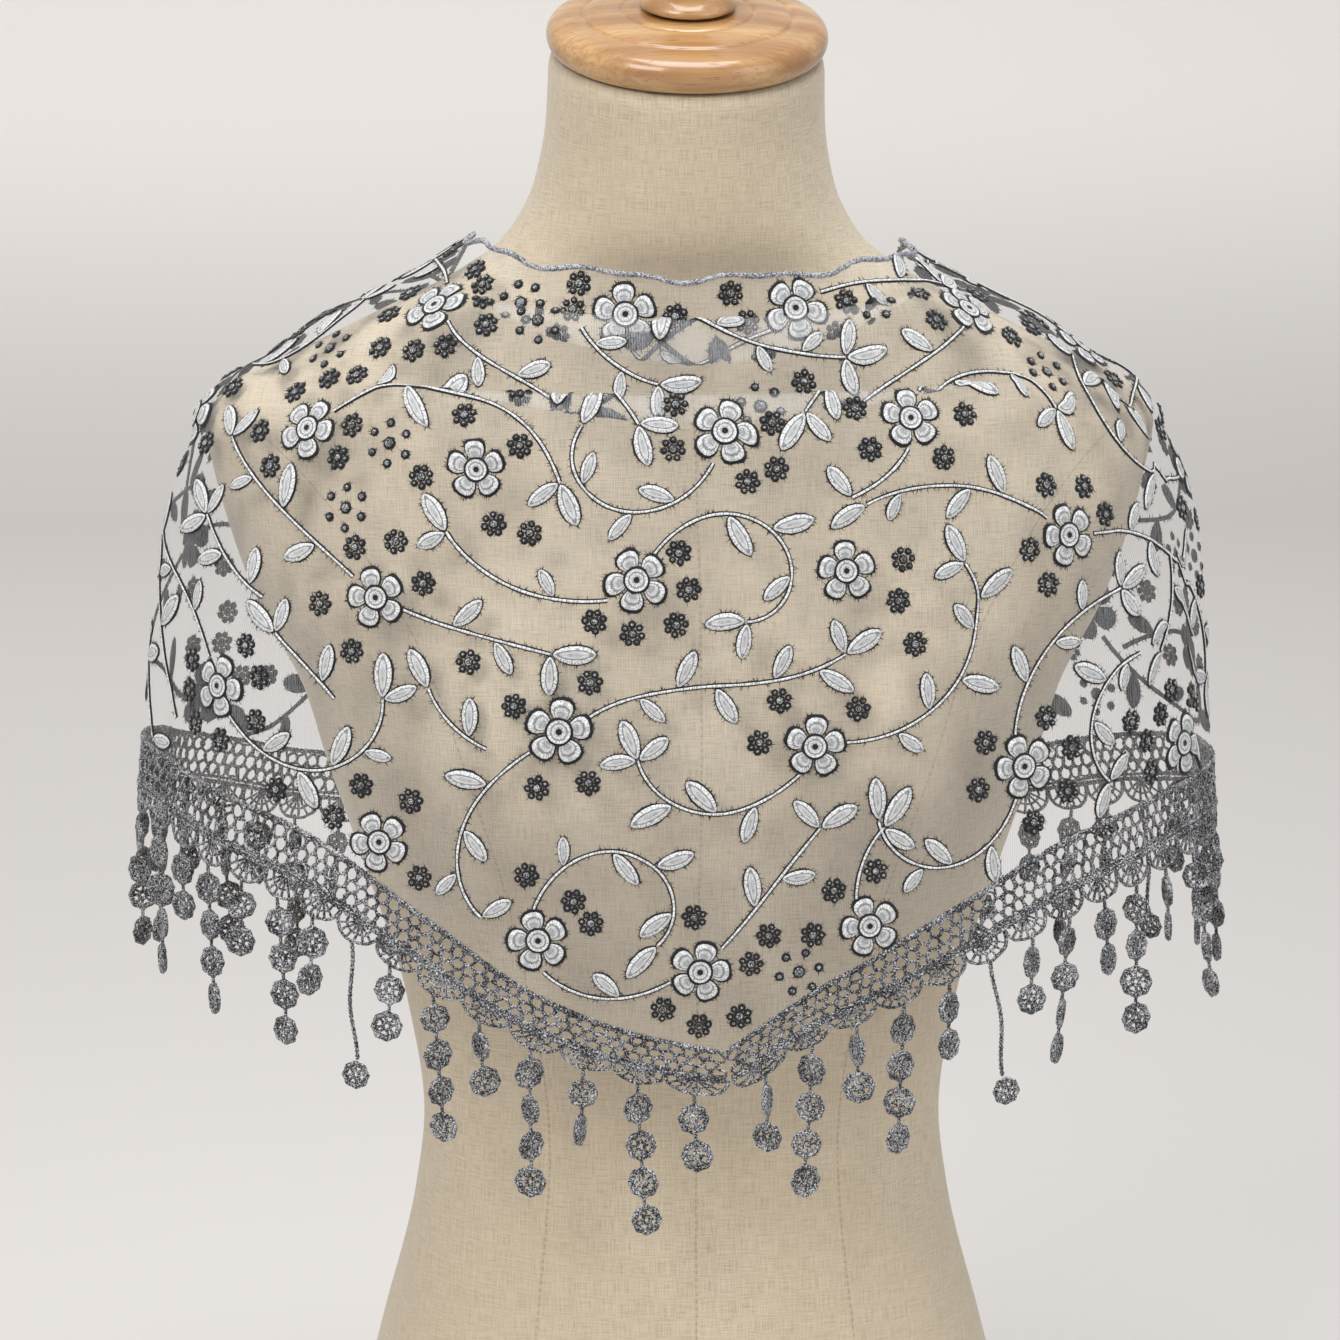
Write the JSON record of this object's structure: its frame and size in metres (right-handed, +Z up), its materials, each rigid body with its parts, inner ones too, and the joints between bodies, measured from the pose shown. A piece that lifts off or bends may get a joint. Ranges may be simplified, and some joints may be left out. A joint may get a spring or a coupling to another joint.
{
  "type": "lace shawl on dress form",
  "caption": "Sheer triangular shawl with a crochet lace border and disc fringe, worn point to the front over a limbless linen dress form with a turned wooden neck cap.",
  "frame": {"origin": "centre of the dress form's flat underside", "axes": "+Z up, +Y towards the back, +X to the right as one looks at the front"},
  "size_m": [0.4587, 0.278, 0.7553],
  "materials": {
    "linen": "matt slubby weave",
    "wood": "gloss varnish",
    "tulle": "sheer net with embroidery",
    "lace": "matt crochet yarn"
  },
  "bodies": {
    "root": {"dress_form": "linen", "neck_cap": "wood", "cap_knob": "wood", "shawl_front": "tulle", "shawl_back_left": "tulle", "shawl_back_right": "tulle", "shawl_knot": "tulle", "shawl_tail_left": "tulle", "shawl_tail_right": "tulle", "border_front_left": "lace", "border_front_right": "lace", "border_back_left": "lace", "border_back_right": "lace", "border_tail_left": "lace", "border_tail_right": "lace", "fringe_front_left": "lace", "fringe_front_right": "lace", "fringe_back_left": "lace", "fringe_back_right": "lace", "fringe_tail_left": "lace", "fringe_tail_right": "lace"}
  },
  "joints": []
}
